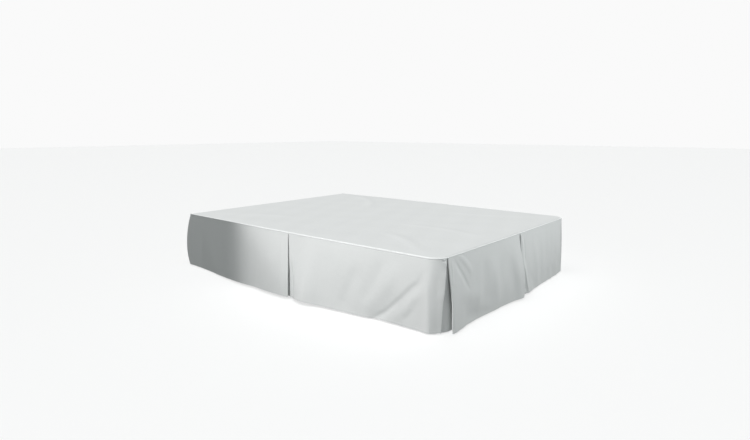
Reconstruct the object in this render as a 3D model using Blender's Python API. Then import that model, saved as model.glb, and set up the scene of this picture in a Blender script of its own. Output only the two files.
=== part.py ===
"""A tailored queen bed skirt, hanging on the box spring and metal frame that it dresses.

Metres, +Z up, the floor at Z = 0, +Y towards the head of the bed. The skirt is a deck, six drops
and five pleat backs, each cut and hemmed by itself. Round the bed, `along` is the distance from
the middle of the foot on the drops' top line: plus to the right, minus to the left. Down a drop,
`drop` is the length of cloth below the seam, and `out` is how far the cloth stands off plumb.
"""

import math
from collections import namedtuple

import bmesh
import bpy
from mathutils import Vector

# Bed: a queen box spring, 60 by 80 inches, with a 14 inch drop below the deck. The top line
# bows out a little along the foot and the sides.
BED_WIDTH = 1.524
BED_LENGTH = 2.032
FOOT_RADIUS = 0.080
HEAD_RADIUS = 0.020
FOOT_BOW = 0.005
SIDE_BOW = 0.008
SEAM_HEIGHT = 0.360
# Steps of the deck's outline along half the foot, a foot corner, a side and a head corner
DECK_STEPS = (6, 8, 10, 4)

# Cloth
CLOTH = 0.0015
DROP = 0.3535
SEAT_GAP = 0.0005
LAYER_GAP = 0.0012
HANG = 1.2
HELD_SHARE = 0.25
ROW_COUNT = 10

# Pleats
HEAD_WRAP = 0.020
RETURN_WIDTH = 0.050
TURN_STEPS = 4
RETURN_STEPS = 3
EDGE_GAP = 0.0010
BACK_HALF_WIDTH = 0.070
BACK_COLUMNS = 9
BACK_CLEAR = 0.0010
BACK_RIDGE_WIDTH = 0.026

# Box spring
BOX_INSET = 0.015
BOX_HEIGHT = 0.200
BOX_EDGE_ROUND = 0.010
BOX_HEAD_RADIUS = 0.030
BOX_CORNER_STEPS = 6
ROUND_STEPS = 3

# Bed frame
RAIL_SIDE = 0.038
CROSS_SIDE = 0.032
BAR_WALL = 0.003
RAIL_OUTER_X = 0.735
RAIL_HALF_LENGTH = 0.975
CROSS_BAR_Y = (-0.780, 0.0, 0.780)
LEG_X = 0.640
LEG_RADIUS = 0.015
GLIDE_RADIUS = 0.024
GLIDE_HEIGHT = 0.022
GLIDE_CHAMFER = 0.003
POST_SIDES = 20
GAP = 0.0003

Flare = namedtuple("Flare", "along hem_out belly")
Fold = namedtuple("Fold", "along_top drop_top along_low drop_low width height")
Pleat = namedtuple("Pleat", "name along before_shift after_shift ease roll")
Back = namedtuple("Back", "hem_before hem_after ridge ridge_aside")
Panel = namedtuple("Panel", "name columns flares folds")

# Left and right are as seen from the foot of the bed. A pleat parts as it falls: each edge
# moves along by its shift at the hem, and its fold rolls open to the roll's radius.
PLEATS = (
    Pleat("left", -1.724, 0.064, 0.072, 1.2, 0.0050),
    Pleat("foot_left", -0.696, -0.040, 0.004, 0.65, 0.0035),
    Pleat("foot", 0.054, -0.060, 0.017, 1.2, 0.0050),
    Pleat("foot_right", 0.696, -0.008, 0.030, 0.8, 0.0035),
    Pleat("right", 1.735, -0.020, 0.020, 1.0, 0.0050),
)

# A pleat's back hangs behind its two edges: the hem's distance off plumb at either end, and
# how far and where a soft ridge stands out between them.
BACKS = (
    Back(0.048, 0.040, 0.000, 0.000),
    Back(-0.005, -0.003, 0.012, 0.018),
    Back(0.042, 0.019, 0.000, 0.000),
    Back(-0.001, -0.004, 0.004, 0.000),
    Back(0.040, 0.040, 0.000, 0.000),
)

# Panels in order from the left side's head end, round the foot, to the right side's head end
PANELS = (
    Panel(
        "side_drop_left_head",
        32,
        (
            Flare(-2.758, 0.034, 0.027),
            Flare(-2.690, 0.024, 0.028),
            Flare(-2.600, 0.025, 0.022),
            Flare(-2.463, 0.034, 0.014),
            Flare(-2.346, 0.051, 0.007),
            Flare(-2.240, 0.063, 0.004),
            Flare(-2.060, 0.074, 0.003),
            Flare(-1.980, 0.069, 0.003),
            Flare(-1.910, 0.072, 0.003),
            Flare(-1.820, 0.082, 0.002),
            Flare(-1.740, 0.088, 0.001),
            Flare(-1.665, 0.082, 0.000),
        ),
        (
            Fold(-2.610, 0.08, -2.570, 0.34, 0.050, -0.003),
            Fold(-2.260, 0.10, -2.200, 0.34, 0.045, 0.003),
            Fold(-1.970, 0.10, -1.950, 0.34, 0.040, -0.003),
        ),
    ),
    Panel(
        "side_drop_left_foot",
        42,
        (
            Flare(-1.655, 0.058, 0.000),
            Flare(-1.570, 0.084, 0.001),
            Flare(-1.536, 0.089, 0.002),
            Flare(-1.492, 0.080, 0.002),
            Flare(-1.450, 0.064, 0.003),
            Flare(-1.400, 0.053, 0.004),
            Flare(-1.345, 0.048, 0.004),
            Flare(-1.270, 0.040, 0.004),
            Flare(-1.194, 0.032, 0.004),
            Flare(-1.140, 0.025, 0.003),
            Flare(-1.060, 0.013, 0.003),
            Flare(-0.960, 0.007, 0.003),
            Flare(-0.850, 0.006, 0.002),
            Flare(-0.781, 0.012, 0.001),
            Flare(-0.736, 0.015, 0.000),
        ),
        (
            Fold(-1.690, 0.10, -1.575, 0.34, 0.018, 0.007),
            Fold(-0.830, 0.09, -1.080, 0.33, 0.022, -0.009),
            Fold(-0.871, 0.21, -0.935, 0.31, 0.018, -0.004),
            Fold(-1.090, 0.07, -1.210, 0.23, 0.032, -0.004),
            Fold(-1.215, 0.26, -1.300, 0.22, 0.050, -0.006),
            Fold(-0.793, 0.05, -0.790, 0.33, 0.022, 0.003),
        ),
    ),
    Panel(
        "foot_drop_left",
        32,
        (
            Flare(-0.690, 0.045, 0.000),
            Flare(-0.642, 0.041, 0.000),
            Flare(-0.552, 0.030, 0.001),
            Flare(-0.471, 0.029, 0.002),
            Flare(-0.317, 0.033, 0.002),
            Flare(-0.221, 0.032, 0.002),
            Flare(-0.144, 0.040, 0.002),
            Flare(-0.075, 0.052, 0.001),
            Flare(-0.010, 0.075, 0.000),
        ),
        (
            Fold(-0.635, 0.06, -0.515, 0.17, 0.016, -0.004),
            Fold(-0.640, 0.12, -0.580, 0.24, 0.016, 0.003),
            Fold(-0.410, 0.08, -0.390, 0.34, 0.045, -0.004),
            Fold(-0.255, 0.08, -0.278, 0.34, 0.045, 0.005),
            Fold(-0.120, 0.17, -0.100, 0.33, 0.025, -0.004),
        ),
    ),
    Panel(
        "foot_drop_right",
        32,
        (
            Flare(0.070, 0.041, 0.000),
            Flare(0.156, 0.043, 0.001),
            Flare(0.230, 0.036, 0.002),
            Flare(0.310, 0.030, 0.002),
            Flare(0.439, 0.027, 0.001),
            Flare(0.585, 0.025, 0.000),
            Flare(0.690, 0.015, -0.002),
        ),
        (
            Fold(0.084, 0.18, 0.128, 0.35, 0.018, 0.007),
            Fold(0.330, 0.08, 0.314, 0.33, 0.028, -0.005),
            Fold(0.200, 0.24, 0.240, 0.33, 0.018, -0.004),
            Fold(0.470, 0.14, 0.470, 0.33, 0.035, 0.004),
            Fold(0.580, 0.12, 0.560, 0.33, 0.028, -0.004),
        ),
    ),
    Panel(
        "side_drop_right_foot",
        24,
        (
            Flare(0.726, 0.020, 0.000),
            Flare(0.812, 0.034, 0.001),
            Flare(0.960, 0.030, 0.003),
            Flare(1.200, 0.038, 0.004),
            Flare(1.500, 0.056, 0.004),
            Flare(1.715, 0.064, 0.002),
        ),
        (
            Fold(0.980, 0.12, 1.060, 0.34, 0.055, -0.005),
            Fold(1.360, 0.12, 1.330, 0.34, 0.060, 0.005),
        ),
    ),
    Panel(
        "side_drop_right_head",
        20,
        (
            Flare(1.755, 0.064, 0.002),
            Flare(2.050, 0.056, 0.004),
            Flare(2.400, 0.044, 0.010),
            Flare(2.758, 0.020, 0.020),
        ),
        (
            Fold(2.020, 0.10, 2.060, 0.34, 0.060, -0.005),
            Fold(2.330, 0.12, 2.300, 0.34, 0.060, 0.005),
        ),
    ),
)


def material(name, colour, roughness, metallic=0.0):
    made = bpy.data.materials.new(name)
    made.use_nodes = True
    shader = made.node_tree.nodes["Principled BSDF"]
    shader.inputs["Base Color"].default_value = (*colour, 1.0)
    shader.inputs["Roughness"].default_value = roughness
    shader.inputs["Metallic"].default_value = metallic
    return made


def mesh_object(name, form, finish, smooth_under=40.0):
    """Turn a bmesh into a named object of the bed."""
    bmesh.ops.recalc_face_normals(form, faces=form.faces)
    mesh = bpy.data.meshes.new(name)
    form.to_mesh(mesh)
    form.free()
    mesh.shade_smooth()
    mesh.set_sharp_from_angle(angle=math.radians(smooth_under))
    mesh.materials.append(finish)
    made = bpy.data.objects.new(name, mesh)
    bpy.context.collection.objects.link(made)
    return made


def bowed(half_size, bow, share):
    """Half the bed's width or length where the top line bows, at -1 to 1 along the straight."""
    return half_size - CLOTH / 2 + bow * (1 - share**2)


def seam_lengths():
    """The top line from the middle of the foot: half the foot, its corner, a side, its corner."""
    foot_straight = BED_WIDTH / 2 - FOOT_RADIUS
    side_straight = BED_LENGTH - FOOT_RADIUS - HEAD_RADIUS
    quarter = math.pi / 2
    return foot_straight, FOOT_RADIUS * quarter, side_straight, HEAD_RADIUS * quarter


def seam_point(along):
    """Place and outward direction on the top line, at the middle of the cloth's thickness."""
    foot_straight, foot_corner, side_straight, _ = seam_lengths()
    past_foot = abs(along) - foot_straight
    past_corner = past_foot - foot_corner
    past_side = past_corner - side_straight
    if past_foot < 0:
        outward = (0.0, -1.0)
        place = (abs(along), -bowed(BED_LENGTH / 2, FOOT_BOW, along / foot_straight))
    elif past_corner < 0:
        turn = past_foot / FOOT_RADIUS
        outward = (math.sin(turn), -math.cos(turn))
        reach = FOOT_RADIUS - CLOTH / 2
        place = (
            foot_straight + reach * outward[0],
            FOOT_RADIUS - BED_LENGTH / 2 + reach * outward[1],
        )
    elif past_side < 0:
        outward = (1.0, 0.0)
        place = (
            bowed(BED_WIDTH / 2, SIDE_BOW, 2 * past_corner / side_straight - 1),
            FOOT_RADIUS - BED_LENGTH / 2 + past_corner,
        )
    else:
        turn = past_side / HEAD_RADIUS
        outward = (math.cos(turn), math.sin(turn))
        reach = HEAD_RADIUS - CLOTH / 2
        place = (
            BED_WIDTH / 2 - HEAD_RADIUS + reach * outward[0],
            BED_LENGTH / 2 - HEAD_RADIUS + reach * outward[1],
        )
    side = -1.0 if along < 0 else 1.0
    return Vector((side * place[0], place[1], 0)), Vector((side * outward[0], outward[1], 0))


def smooth_read(rows, column, along):
    """A column of a table at `along`, eased from row to row and level past its ends."""
    if along <= rows[0].along:
        return getattr(rows[0], column)
    for before, after in zip(rows, rows[1:]):
        if along <= after.along:
            share = (along - before.along) / (after.along - before.along)
            share = share * share * (3 - 2 * share)
            low, high = getattr(before, column), getattr(after, column)
            return low + (high - low) * share
    return getattr(rows[-1], column)


def fold_height(fold, along, drop):
    """A soft ridge, or a trough where the height is minus, along a line on the cloth."""
    run = Vector((fold.along_low - fold.along_top, fold.drop_low - fold.drop_top))
    here = Vector((along - fold.along_top, drop - fold.drop_top))
    share = min(max(here.dot(run) / run.length_squared, 0.0), 1.0)
    aside = (here - run * share).length / fold.width
    return fold.height * math.exp(-aside * aside)


def face_out(panel, along, fall):
    """How far the panel's middle surface stands off plumb at the share `fall` of its drop."""
    hem_out = smooth_read(panel.flares, "hem_out", along)
    belly = smooth_read(panel.flares, "belly", along)
    folds = sum(fold_height(fold, along, fall * DROP) for fold in panel.folds)
    held = min(fall / HELD_SHARE, 1.0)
    return hem_out * fall**HANG + belly * 4 * fall * (1 - fall) + folds * held


def turn_radius(pleat, fall):
    """The folded edge is pressed flat at the seam and rolls open towards the hem."""
    pressed = (CLOTH + LAYER_GAP) / 2
    return pressed + (pleat.roll - pressed) * fall


def edge_along(pleat, side, fall):
    """Where a panel's folded edge starts to turn; side is -1 before the pleat, +1 after it."""
    shift = pleat.before_shift if side < 0 else pleat.after_shift
    clear = EDGE_GAP / 2 + CLOTH / 2 + turn_radius(pleat, fall)
    return pleat.along + side * clear + shift * fall**pleat.ease


def column_points(place_at):
    """Points down one column of cloth. place_at gives (along, out, sideways) at a share of the
    drop, and each step down is shortened by what the step outwards takes of the cloth."""
    height = SEAM_HEIGHT - CLOTH - SEAT_GAP
    points = []
    last_out = None
    for row in range(ROW_COUNT + 1):
        along, out, sideways = place_at(row / ROW_COUNT)
        if last_out is not None:
            step = DROP / ROW_COUNT
            height -= math.sqrt(max(step**2 - (out - last_out) ** 2, 0.0))
        last_out = out
        base, outward = seam_point(along)
        forward = Vector((-outward.y, outward.x, 0))
        points.append(base + outward * out + forward * sideways + Vector((0, 0, height)))
    return points


def turned_edge(panel, pleat, side):
    """Columns of the folded edge and the return behind the face, from the face inwards.
    side is -1 where the pleat follows the panel and +1 where the panel follows the pleat."""

    def turning(angle):
        def place_at(fall):
            along = edge_along(pleat, side, fall)
            radius = turn_radius(pleat, fall)
            out = face_out(panel, along, fall) - radius + radius * math.cos(angle)
            return along, out, -side * radius * math.sin(angle)

        return place_at

    def returning(distance):
        def place_at(fall):
            along = edge_along(pleat, side, fall) + side * distance
            return along, face_out(panel, along, fall) - 2 * turn_radius(pleat, fall), 0.0

        return place_at

    columns = [turning(math.pi * step / TURN_STEPS) for step in range(1, TURN_STEPS + 1)]
    columns += [
        returning(RETURN_WIDTH * step / RETURN_STEPS) for step in range(1, RETURN_STEPS + 1)
    ]
    face = column_points(turning(0.0))
    made = [column_points(place_at) for place_at in columns]
    # The return hangs level with the folded edge, so its heights are the face's own.
    for column in made:
        for point, level in zip(column, face):
            point.z = level.z
    return made


def sheet_object(name, columns, finish):
    """A grid of columns, given the cloth's thickness to both sides."""
    form = bmesh.new()
    grid = [[form.verts.new(point) for point in column] for column in columns]
    for left, right in zip(grid, grid[1:]):
        for row in range(ROW_COUNT):
            form.faces.new((left[row], left[row + 1], right[row + 1], right[row]))
    made = mesh_object(name, form, finish)
    thick = made.modifiers.new("Cloth", "SOLIDIFY")
    thick.thickness = CLOTH
    thick.offset = 0.0
    thick.use_even_offset = True
    return made


def drop_panel(panel, before, after, first_along, last_along, finish):
    """One drop with its returns. before and after are the pleats at its two edges, or None."""

    def at(share):
        def place_at(fall):
            first = edge_along(before, 1, fall) if before else first_along
            last = edge_along(after, -1, fall) if after else last_along
            along = first + (last - first) * share
            return along, face_out(panel, along, fall), 0.0

        return place_at

    columns = [column_points(at(step / panel.columns)) for step in range(panel.columns + 1)]
    if before:
        columns = turned_edge(panel, before, 1)[::-1] + columns
    if after:
        columns = columns + turned_edge(panel, after, -1)
    return sheet_object(panel.name, columns, finish)


def pleat_back(pleat, back, finish):
    """The flat piece behind a pleat, sewn under the deck and hanging clear of the returns."""
    top_out = -2 * (CLOTH + LAYER_GAP) - BACK_CLEAR
    middle_shift = (pleat.before_shift + pleat.after_shift) / 2

    def at(share):
        aside = (2 * share - 1) * BACK_HALF_WIDTH
        off_ridge = (aside - back.ridge_aside) / BACK_RIDGE_WIDTH
        hem_out = back.hem_before + (back.hem_after - back.hem_before) * share
        hem_out += back.ridge * math.exp(-(off_ridge**2))

        def place_at(fall):
            along = pleat.along + aside + middle_shift * fall**pleat.ease
            return along, top_out + (hem_out - top_out) * fall**HANG, 0.0

        return place_at

    columns = [column_points(at(step / BACK_COLUMNS)) for step in range(BACK_COLUMNS + 1)]
    return sheet_object("pleat_back_" + pleat.name, columns, finish)


def slab(name, outline, bottom, top, finish, edge_round=0.0):
    """A flat slab from its outline in plan, its long edges rounded where asked."""
    form = bmesh.new()
    base = form.faces.new([form.verts.new((x, y, bottom)) for x, y in outline])
    raised = bmesh.ops.extrude_face_region(form, geom=[base])["geom"]
    lifted = [piece for piece in raised if isinstance(piece, bmesh.types.BMVert)]
    bmesh.ops.translate(form, verts=lifted, vec=(0, 0, top - bottom))
    if edge_round:
        rims = [e for e in form.edges if abs(e.verts[0].co.z - e.verts[1].co.z) < 1e-6]
        bmesh.ops.bevel(
            form, geom=rims, offset=edge_round, segments=ROUND_STEPS, profile=0.5, affect="EDGES"
        )
    return mesh_object(name, form, finish)


def deck_outline():
    """Round the drops' outer face: half the foot, a corner, a side and a corner, both ways."""
    right = []
    start = 0.0
    for length, steps in zip(seam_lengths(), DECK_STEPS):
        right += [start + length * step / steps for step in range(steps)]
        start += length
    right.append(start)
    places = []
    for along in [-along for along in right[:0:-1]] + right:
        place, outward = seam_point(along)
        edge = place + outward * CLOTH / 2
        places.append((edge.x, edge.y))
    return places


def box_outline():
    """The box spring in plan, inside the cloth by its inset."""
    corners = (
        (1, -1, FOOT_RADIUS - BOX_INSET, -90),
        (1, 1, BOX_HEAD_RADIUS, 0),
        (-1, 1, BOX_HEAD_RADIUS, 90),
        (-1, -1, FOOT_RADIUS - BOX_INSET, 180),
    )
    places = []
    for side_x, side_y, radius, first in corners:
        for step in range(BOX_CORNER_STEPS + 1):
            turn = math.radians(first + 90 * step / BOX_CORNER_STEPS)
            x = side_x * (BED_WIDTH / 2 - BOX_INSET - radius) + radius * math.cos(turn)
            y = side_y * (BED_LENGTH / 2 - BOX_INSET - radius) + radius * math.sin(turn)
            places.append((x, y))
    return places


def angle_bar(name, side, length, corner, spin, down, finish):
    """An L-section bar. Its flat flange runs inwards from the corner line, its other one down."""
    outline = (
        (0, 0),
        (-side, 0),
        (-side, -BAR_WALL),
        (-BAR_WALL, -BAR_WALL),
        (-BAR_WALL, -down),
        (0, -down),
    )
    form = bmesh.new()
    ring = [form.verts.new((x, -length / 2, z)) for x, z in outline]
    end = form.faces.new(ring)
    far = bmesh.ops.extrude_face_region(form, geom=[end])["geom"]
    moved = [piece for piece in far if isinstance(piece, bmesh.types.BMVert)]
    bmesh.ops.translate(form, verts=moved, vec=(0, length, 0))
    made = mesh_object(name, form, finish)
    made.location = corner
    made.rotation_euler = (0, 0, math.radians(spin))
    return made


def round_post(name, radius, bottom, top, x, y, finish, chamfer=0.0):
    """An upright round piece, with its bottom edge chamfered where asked."""
    form = bmesh.new()
    bmesh.ops.create_cone(
        form, cap_ends=True, segments=POST_SIDES, radius1=radius, radius2=radius, depth=top - bottom
    )
    if chamfer:
        rim = [e for e in form.edges if all(v.co.z < 0 for v in e.verts)]
        bmesh.ops.bevel(form, geom=rim, offset=chamfer, segments=1, affect="EDGES")
    made = mesh_object(name, form, finish)
    made.location = (x, y, (top + bottom) / 2)
    return made


def build_skirt(cloth):
    """The deck, the six drops between the pleats, and the five pleat backs."""
    made = [slab("deck", deck_outline(), SEAM_HEIGHT - CLOTH, SEAM_HEIGHT, cloth)]
    head_end = sum(seam_lengths()[:3]) + HEAD_WRAP
    for number, panel in enumerate(PANELS):
        before = PLEATS[number - 1] if number else None
        after = PLEATS[number] if number < len(PLEATS) else None
        made.append(drop_panel(panel, before, after, -head_end, head_end, cloth))
    for pleat, back in zip(PLEATS, BACKS):
        made.append(pleat_back(pleat, back, cloth))
    return made


def build_base(ticking, steel, plastic):
    """The box spring on two side rails, three cross bars and seven legs with glides."""
    box_top = SEAM_HEIGHT - CLOTH - GAP
    box_bottom = box_top - BOX_HEIGHT
    made = [slab("box_spring", box_outline(), box_bottom, box_top, ticking, BOX_EDGE_ROUND)]
    rail_top = box_bottom - GAP
    rail_length = 2 * RAIL_HALF_LENGTH
    for side, name, spin in ((1, "side_rail_right", 0), (-1, "side_rail_left", 180)):
        corner = (side * RAIL_OUTER_X, 0, rail_top)
        made.append(angle_bar(name, RAIL_SIDE, rail_length, corner, spin, RAIL_SIDE, steel))
    cross_top = rail_top - BAR_WALL - GAP
    cross_length = 2 * (RAIL_OUTER_X - BAR_WALL - GAP)
    leg_top = cross_top - BAR_WALL - GAP
    leg_aside = BAR_WALL + GAP + LEG_RADIUS
    for y, place in zip(CROSS_BAR_Y, ("foot", "middle", "head")):
        corner = (0, y, cross_top)
        bar = angle_bar(
            "cross_bar_" + place, CROSS_SIDE, cross_length, corner, 90, CROSS_SIDE, steel
        )
        made.append(bar)
        spots = [("left", -LEG_X), ("right", LEG_X)]
        if place == "middle":
            spots.append(("centre", 0.0))
        for side, x in spots:
            leg_y = y - leg_aside
            leg = round_post(
                f"leg_{place}_{side}", LEG_RADIUS, GLIDE_HEIGHT + GAP, leg_top, x, leg_y, steel
            )
            glide = round_post(
                f"glide_{place}_{side}",
                GLIDE_RADIUS,
                0,
                GLIDE_HEIGHT,
                x,
                leg_y,
                plastic,
                GLIDE_CHAMFER,
            )
            made += [leg, glide]
    return made


def centre_on_origin(pieces):
    """Carry every piece on one empty, placed so that the bed's bounding box is centred on Z."""
    carrier = bpy.data.objects.new("bed", None)
    bpy.context.collection.objects.link(carrier)
    for piece in pieces:
        piece.parent = carrier
    bpy.context.view_layer.update()
    graph = bpy.context.evaluated_depsgraph_get()
    corners = []
    for piece in pieces:
        box = piece.evaluated_get(graph).bound_box
        corners += [piece.matrix_world @ Vector(corner) for corner in box]
    for axis in (0, 1):
        low = min(corner[axis] for corner in corners)
        high = max(corner[axis] for corner in corners)
        carrier.location[axis] = -(low + high) / 2
    print("bed centre moved by", tuple(round(size, 5) for size in carrier.location))


def main():
    for old in list(bpy.data.objects):
        bpy.data.objects.remove(old)
    cloth = material("white_microfibre", (0.83, 0.84, 0.85), 0.9)
    ticking = material("box_spring_ticking", (0.72, 0.71, 0.69), 0.85)
    steel = material("brown_painted_steel", (0.11, 0.08, 0.06), 0.45, 0.6)
    plastic = material("black_plastic", (0.03, 0.03, 0.03), 0.5)
    centre_on_origin(build_skirt(cloth) + build_base(ticking, steel, plastic))


main()
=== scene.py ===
import math

import bpy
import numpy as np
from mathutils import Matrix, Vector


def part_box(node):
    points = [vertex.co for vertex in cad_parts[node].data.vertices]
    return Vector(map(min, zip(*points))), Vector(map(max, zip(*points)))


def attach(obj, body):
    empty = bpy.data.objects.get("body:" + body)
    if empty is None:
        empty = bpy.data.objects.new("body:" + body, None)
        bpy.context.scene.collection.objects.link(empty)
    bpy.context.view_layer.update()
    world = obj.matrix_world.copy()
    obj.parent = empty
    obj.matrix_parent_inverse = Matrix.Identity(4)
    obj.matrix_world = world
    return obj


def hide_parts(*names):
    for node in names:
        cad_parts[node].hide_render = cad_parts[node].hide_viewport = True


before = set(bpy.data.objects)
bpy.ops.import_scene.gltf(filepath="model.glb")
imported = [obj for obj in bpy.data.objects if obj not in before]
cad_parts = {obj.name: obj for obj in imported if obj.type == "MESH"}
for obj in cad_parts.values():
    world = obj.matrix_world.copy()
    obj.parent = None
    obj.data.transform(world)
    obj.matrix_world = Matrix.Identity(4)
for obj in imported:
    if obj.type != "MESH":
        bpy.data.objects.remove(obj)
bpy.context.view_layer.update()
print("frame loaded with", len(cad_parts), "nodes")

# the bed's plan and heights, in metres; the box spring's middle is the middle of the bed
boxLow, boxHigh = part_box("box_spring")
bedMiddle = np.array([(boxLow.x + boxHigh.x) / 2, (boxLow.y + boxHigh.y) / 2])
bed = {
    "width": 1.524, "length": 2.032, "footRadius": 0.08, "headRadius": 0.02,
    "footBow": 0.005, "sideBow": 0.008, "top": 0.36, "drop": 0.3535,
    "solidCloth": 0.0015, "seamBelow": 0.002, "headWrap": 0.02,
}
footStraight = bed["width"] / 2 - bed["footRadius"]
sideStraight = bed["length"] - bed["footRadius"] - bed["headRadius"]
cornerEnd = footStraight + bed["footRadius"] * math.pi / 2
sideEnd = cornerEnd + sideStraight
cloth = {
    "thick": 0.0011, "hang": 1.2, "heldShare": 0.25, "pressed": 0.002,
    "edgeGap": 0.001, "turnWidth": 0.0045, "turnSteps": 8, "returnWidth": 0.05, "returnSteps": 6,
    "columnStep": 0.0048, "fineStep": 0.002, "probes": 4000, "bodyRows": 62,
}
seam = {"roll": 0.0034, "rollStart": 0.0022, "rollTurn": 150, "rollSteps": 7, "stitchDrop": 0.0075,
        "proud": 0.0012, "proudFade": 0.003, "groove": 0.0007, "grooveWidth": 0.0014, "upStep": 0.0003}
hem = {"height": 0.0125, "proud": 0.0003, "proudFade": 0.002, "groove": 0.0005, "grooveWidth": 0.0014}
smooth = {"cloth": math.radians(50), "hard": math.radians(40)}
tiny = 1e-5


def setMode(mode):
    bpy.ops.object.mode_set(mode=mode)


def pick(piece):
    bpy.ops.object.select_all(action="DESELECT")
    piece.select_set(True)
    bpy.context.view_layer.objects.active = piece
    return piece


def newPiece(name):
    piece = pick(bpy.context.active_object)
    piece.name = name
    return piece


def smoothStep(low, high, value):
    share = np.clip((value - low) / (high - low), 0, 1)
    return share * share * (3 - 2 * share)


# half the bed's width and length, drawn in
def halves(inset):
    return bed["width"] / 2 - inset, bed["length"] / 2 - inset


# a table of millimetres, in metres
def metres(table):
    return [metres(entry) for entry in table] if isinstance(table, (list, tuple)) else table / 1000


class Signal:
    # a socket that can be used in sums: each operator adds a Math node
    def __init__(self, finish, socket):
        self.finish = finish
        self.socket = socket

    def maths(self, operation, *values):
        return self.finish.add("ShaderNodeMath", values, operation=operation)

    def __add__(self, other):
        return self.maths("ADD", self, other)

    def __radd__(self, other):
        return self.maths("ADD", other, self)

    def __sub__(self, other):
        return self.maths("SUBTRACT", self, other)

    def __rsub__(self, other):
        return self.maths("SUBTRACT", other, self)

    def __mul__(self, other):
        return self.maths("MULTIPLY", self, other)

    def __rmul__(self, other):
        return self.maths("MULTIPLY", other, self)

    def __truediv__(self, other):
        return self.maths("DIVIDE", self, other)

    def __rtruediv__(self, other):
        return self.maths("DIVIDE", other, self)

    def __abs__(self):
        return self.maths("ABSOLUTE", self)

    def sine(self):
        return self.maths("SINE", self)

    # 1 where the signal is at the middle, fading out over the width
    def near(self, middle, width):
        away = (self - middle) / width
        return self.maths("EXPONENT", away * away * -1.0)


class Finish:
    # one material: settings for its shader, and nodes added from values or other sockets
    def __init__(self, name, look):
        self.material = bpy.data.materials.new(name)
        self.material.use_nodes = True
        self.tree = self.material.node_tree
        self.shader = self.tree.nodes["Principled BSDF"]
        for socket, value in look.items():
            self.shader.inputs[socket].default_value = value

    def add(self, kind, values, output=0, **settings):
        node = self.tree.nodes.new(kind)
        for key, value in settings.items():
            setattr(node, key, value)
        for key, value in values.items() if isinstance(values, dict) else enumerate(values):
            if isinstance(value, Signal):
                self.tree.links.new(value.socket, node.inputs[key])
            else:
                node.inputs[key].default_value = value
        return Signal(self, node.outputs[output])

    def feed(self, socket, signal):
        self.tree.links.new(signal.socket, self.shader.inputs[socket])

    def noise(self, vector, scale, detail=2.0, roughness=0.5):
        values = {"Vector": vector, "Scale": scale, "Detail": detail, "Roughness": roughness}
        return self.add("ShaderNodeTexNoise", values)

    def stretched(self, vector, scale):
        return self.add("ShaderNodeMapping", {"Vector": vector, "Scale": scale})

    def blend(self, factor, first, second):
        return self.add("ShaderNodeMix", {0: factor, 6: first, 7: second}, 2, data_type="RGBA")

    # heights are in metres, so the bump's own distance is one metre
    def bump(self, height):
        self.feed("Normal", self.add("ShaderNodeBump", {"Strength": 1, "Distance": 1, "Height": height}))

    def objectPlace(self):
        return self.add("ShaderNodeTexCoord", (), "Object")

    def part(self, vector, axis):
        return self.add("ShaderNodeSeparateXYZ", [vector], axis)


# plain-woven white microfibre: threads, slubs, soft crumples, and puckers beside the stitching
clothLook = {
    "colour": (0.71, 0.72, 0.72, 1), "shade": (0.68, 0.7, 0.695, 1), "threadPitch": 0.00055,
    "threadHeight": 0.00005, "slubHeight": 0.00004, "crumpleHeight": 0.0005,
    "puckerHeight": 0.0007, "puckerWidth": 0.007,
}


def wovenFinish(name, look, stitchLines):
    finish = Finish(name, {"Sheen Weight": 0.12, "Sheen Roughness": 0.5, "Specular IOR Level": 0.25})
    lay = finish.add("ShaderNodeUVMap", (), uv_map="clothLay")
    across, down = finish.part(lay, 0), finish.part(lay, 1)
    turn = math.pi / look["threadPitch"]
    warp = (across * turn).sine()
    weft = (down * turn).sine()
    overUnder = warp * weft
    threads = abs(warp) * (0.5 + 0.5 * overUnder) + abs(weft) * (0.5 - 0.5 * overUnder)
    warpSlub = finish.noise(finish.stretched(lay, (900, 30, 1)), 1.0, 1.0)
    weftSlub = finish.noise(finish.stretched(lay, (30, 900, 1)), 1.0, 1.0)
    crumple = finish.noise(lay, 38.0, 3.0, 0.45)
    height = threads * look["threadHeight"] + (warpSlub + weftSlub) * look["slubHeight"]
    height = height + crumple * look["crumpleHeight"]
    pucker = finish.noise(finish.stretched(lay, (150, 30, 1)), 1.0, 2.0)
    for line in stitchLines:
        height = height + pucker * down.near(line, look["puckerWidth"]) * look["puckerHeight"]
    finish.bump(height)
    cloud = finish.noise(lay, 3.5, 3.0, 0.6)
    tint = 0.55 * cloud + 0.25 * warpSlub + 0.2 * weftSlub
    finish.feed("Base Color", finish.blend(tint, look["colour"], look["shade"]))
    finish.feed("Roughness", 0.8 + 0.12 * crumple)
    return finish.material


dropFinish = wovenFinish("dropMicrofibre", clothLook, (seam["stitchDrop"], bed["drop"] - hem["height"]))
deckFinish = wovenFinish("deckMicrofibre", clothLook, ())
print("cloth finishes made")


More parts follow.
